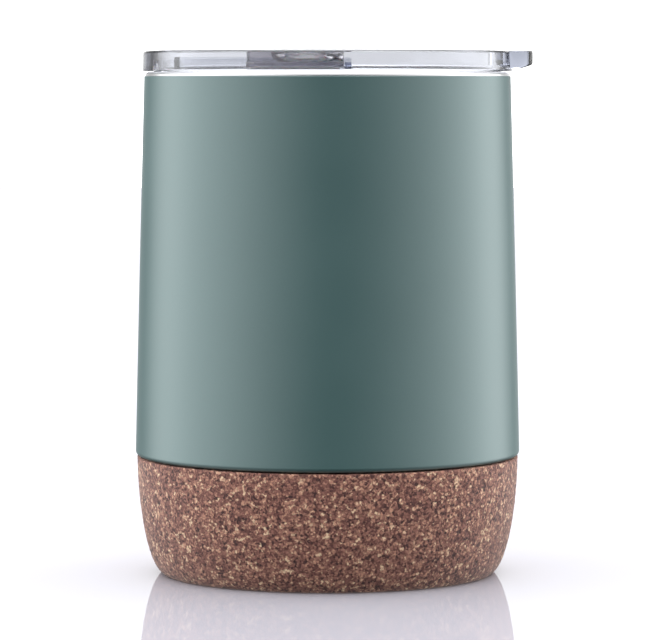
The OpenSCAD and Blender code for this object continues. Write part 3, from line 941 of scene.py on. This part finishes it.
def tent_world(stops, strength):
    """A world lit by (degrees, brightness) stops; an angle is 0 in front and negative on the left."""
    world = bpy.data.worlds.new("tent")
    bpy.context.scene.world = world
    world.use_nodes = True
    tree = world.node_tree
    direction = add_node(tree, "ShaderNodeTexCoord").outputs["Generated"]
    parts = add_node(tree, "ShaderNodeSeparateXYZ", {0: direction}).outputs
    ahead = add_math(tree, "MULTIPLY", parts["Y"], -1.0)
    angle = fade(tree, add_math(tree, "ARCTAN2", parts["X"], ahead), -pi, pi)
    walls = add_ramp(tree, angle, [(0.5 + degree / 360, (level, level, level)) for degree, level in stops])
    tent = blend_colours(tree, fade(tree, parts["Z"], 0.3, 0.8), walls, WHITE)
    lit = dimmed(tree, tent, fade(tree, parts["Z"], -0.6, 0.0, 0.2, 1.0))
    behind = fade(tree, parts["Y"], 0.9, 0.96)
    table_edge = fade(tree, parts["Z"], 0.0, 0.02, 0.75, 1.0)
    sweep = add_node(tree, "ShaderNodeMix", {0: behind, 2: 1.0, 3: table_edge}).outputs[0]
    seen = add_node(tree, "ShaderNodeLightPath").outputs["Is Camera Ray"]
    shown = blend_colours(tree, seen, dimmed(tree, lit, sweep), WHITE)
    background = tree.nodes["Background"]
    tree.links.new(shown, background.inputs["Color"])
    background.inputs["Strength"].default_value = strength
    return world


TENT_STRENGTH = 2.4
back_left = [(-180, 0.62), (-166, 0.62)]
left_flag = [(-161, 0.3), (-150, 0.06), (-140, 0.12), (-128, 0.6)]
left_wall = [(-118, 0.93), (-106, 0.93), (-96, 0.78), (-84, 0.66), (-62, 0.5), (-42, 0.31), (-22, 0.15)]
gap_in_front = [(-6, 0.02), (5, 0.01), (14, 0.03)]
right_wall = [(33, 0.12), (53, 0.25), (74, 0.44), (98, 0.74), (112, 1.0), (130, 1.0)]
right_flag = [(138, 0.4), (146, 0.02), (155, 0.15)]
back_right = [(163, 0.62), (180, 0.62)]
tent_world(back_left + left_flag + left_wall + gap_in_front + right_wall + right_flag + back_right,
           TENT_STRENGTH)
bpy.context.scene.view_settings.view_transform = "Standard"
print("tent light ready")

# %% Overhead lamp
overhead = bpy.data.lights.new("overhead", "AREA")
overhead.shape = "DISK"
overhead.size = 0.9
overhead.energy = 3.0
overhead_lamp = bpy.data.objects.new("overhead", overhead)
overhead_lamp.location = (0.0, 0.1, 0.9)
bpy.context.scene.collection.objects.link(overhead_lamp)
print("lamp of", overhead.energy, "W at", tuple(round(value, 2) for value in overhead_lamp.location))

# %% [markdown]
# ## Floor
# The cup stands on a pale glossy board, which holds a soft reflection of it. A Principled
# shader mirrors mostly at low angles, so a diffuse board and a sharp gloss are mixed in a
# fixed share instead. The floor isn't part of the cup: the cup's own reflections and the
# lid's refractions leave it out, and meet the tent's dim lower half.

# %% Floor
GLOSS_SHARE = 0.38
FLOOR_SIZE = 6.0            # metres


def pale_floor():
    """A pale board under a gloss that mirrors a fixed share of what stands on it."""
    material = bpy.data.materials.new("pale_board")
    material.use_nodes = True
    tree = material.node_tree
    tree.nodes.clear()
    cloud = add_noise(tree, object_point(tree), 8.0, 2.0)
    colour = add_ramp(tree, cloud, [(0.3, (0.475, 0.47, 0.53)), (0.7, (0.495, 0.49, 0.55))])
    board = add_node(tree, "ShaderNodeBsdfDiffuse", {"Color": colour})
    gloss = add_node(tree, "ShaderNodeBsdfGlossy", {"Roughness": 0.03})
    mixed = add_node(tree, "ShaderNodeMixShader",
                     {0: GLOSS_SHARE, 1: board.outputs[0], 2: gloss.outputs[0]})
    add_node(tree, "ShaderNodeOutputMaterial", {"Surface": mixed.outputs[0]})
    return material


builder = bmesh.new()
bmesh.ops.create_grid(builder, x_segments=8, y_segments=8, size=FLOOR_SIZE / 2)
floor_mesh = bpy.data.meshes.new("floor")
builder.to_mesh(floor_mesh)
builder.free()
floor = bpy.data.objects.new("floor", floor_mesh)
floor.data.materials.append(pale_floor())
floor.visible_glossy = False
floor.visible_diffuse = False
floor.visible_transmission = False
bpy.context.scene.collection.objects.link(floor)
print("floor of", FLOOR_SIZE, "m")

# %% [markdown]
# ## Camera
# A long lens stands 0.8 m in front of the cup, 5 cm above its middle. From there the top and
# the seam curve only a little, as they do in a catalogue view of a small product.

# %% Camera
camera_data = bpy.data.cameras.new("camera")
camera_data.lens = 199.7
camera_data.sensor_width = 36.0
camera_data.clip_start = 0.05
camera = bpy.data.objects.new("camera", camera_data)
eye = Vector((0.0016, -0.7965, 0.1046))
aim = Vector((0.0016, 0.0, 0.05425))
camera.location = eye
camera.rotation_euler = (aim - eye).to_track_quat("-Z", "Y").to_euler()
bpy.context.scene.collection.objects.link(camera)
bpy.context.scene.camera = camera
print("camera", tuple(round(value, 4) for value in eye), "pitch",
      round(degrees(atan((aim.z - eye.z) / (aim.y - eye.y))), 2))
